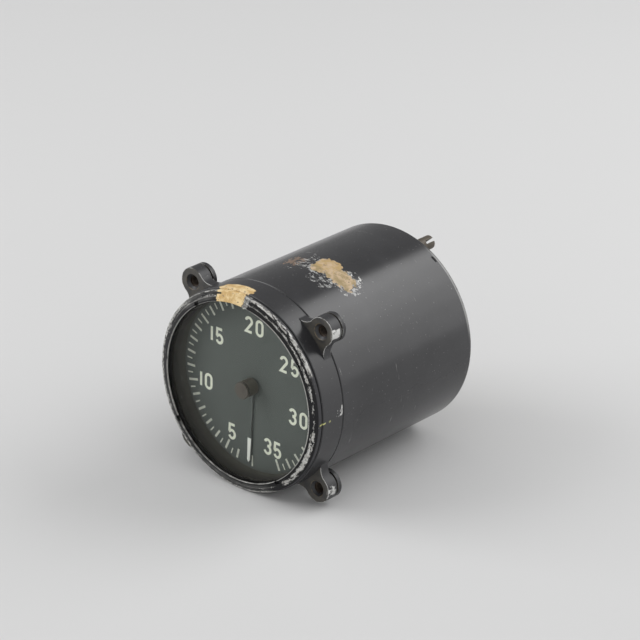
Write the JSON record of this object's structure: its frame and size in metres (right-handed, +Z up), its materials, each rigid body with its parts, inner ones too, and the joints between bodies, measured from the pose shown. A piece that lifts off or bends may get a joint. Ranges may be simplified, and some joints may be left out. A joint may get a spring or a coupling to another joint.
{
  "type": "aircraft tachometer",
  "caption": "Round panel tachometer with a glazed bezel, dial and pointer, a magnetic drag movement in a deep can, panel lugs, and a threaded drive union at the back.",
  "frame": {"origin": "on the instrument's axis, in the plane of the lug faces that meet the panel", "axes": "+Y runs along the axis to the back, +Z is up at the top of the dial, and the dial faces -Y"},
  "size_m": [0.08, 0.1096, 0.08],
  "materials": {
    "case_paint": "satin black enamel, worn",
    "bezel_paint": "satin black, chipped to bare metal",
    "cover_glass": "clear polished glass",
    "gasket_rubber": "matt",
    "shade_black": "matt black",
    "dial_paint": "matt grey-green",
    "pointer_black": "matt black",
    "lume": "aged luminous compound",
    "hub_brown": "darkened brass",
    "screw_steel": "plain steel",
    "shaft_steel": "ground steel",
    "frame_brass": "machined brass",
    "bush_bronze": "bearing bronze",
    "spring_bronze": "spring strip",
    "cup_aluminium": "spun aluminium",
    "magnet_iron": "ground magnet alloy",
    "soft_iron": "plated soft iron",
    "fibre": "fibre",
    "jewel": "polished jewel",
    "union_brass": "tarnished brass",
    "bonding_brass": "dulled plated brass"
  },
  "bodies": {
    "case": {"front_ring": "case_paint", "bezel_ring": "bezel_paint", "cover_glass": "cover_glass", "glass_gasket": "gasket_rubber", "shade_ring": "shade_black", "dial_plate": "dial_paint", "case_can": "case_paint", "case_gasket": "gasket_rubber", "case_screws": "screw_steel", "front_plate": "frame_brass", "plate_screws": "screw_steel", "frame_pillars": "frame_brass", "pillar_screws": "screw_steel", "rear_plate": "frame_brass", "staff_bush": "bush_bronze", "stop_pin": "screw_steel", "hairspring_stud": "bush_bronze", "hairspring": "spring_bronze", "flux_cup": "soft_iron", "bearing_sleeve": "frame_brass", "sleeve_screws": "screw_steel", "spindle_bushes": "bush_bronze", "drive_union": "union_brass", "union_gasket": "gasket_rubber", "union_screws": "screw_steel", "bonding_screw": "bonding_brass", "bonding_washer": "screw_steel"},
    "needle": {"pointer": "pointer_black", "pointer_lume": "lume", "pointer_hub": "hub_brown", "pointer_staff": "shaft_steel", "hairspring_collet": "bush_bronze", "stop_arm": "bush_bronze", "drag_cup": "cup_aluminium", "drag_cup_hub": "bush_bronze"},
    "drive": {"drive_spindle": "shaft_steel", "magnet_rotor": "magnet_iron", "rotor_hub": "bush_bronze", "thrust_washer": "fibre", "pivot_jewel": "jewel"}
  },
  "joints": [
    {"name": "pointer_turn", "type": "hinge", "parent": "case", "child": "needle", "pos_m": [0, 0, 0], "axis": [0, 1, 0], "range_deg": [0, 334], "stiffness_Nm_per_rad": 0.00003, "springref_deg": -57.3},
    {"name": "drive_spin", "type": "hinge", "parent": "case", "child": "drive", "pos_m": [0, 0.06, 0], "axis": [0, 1, 0], "continuous": true}
  ]
}
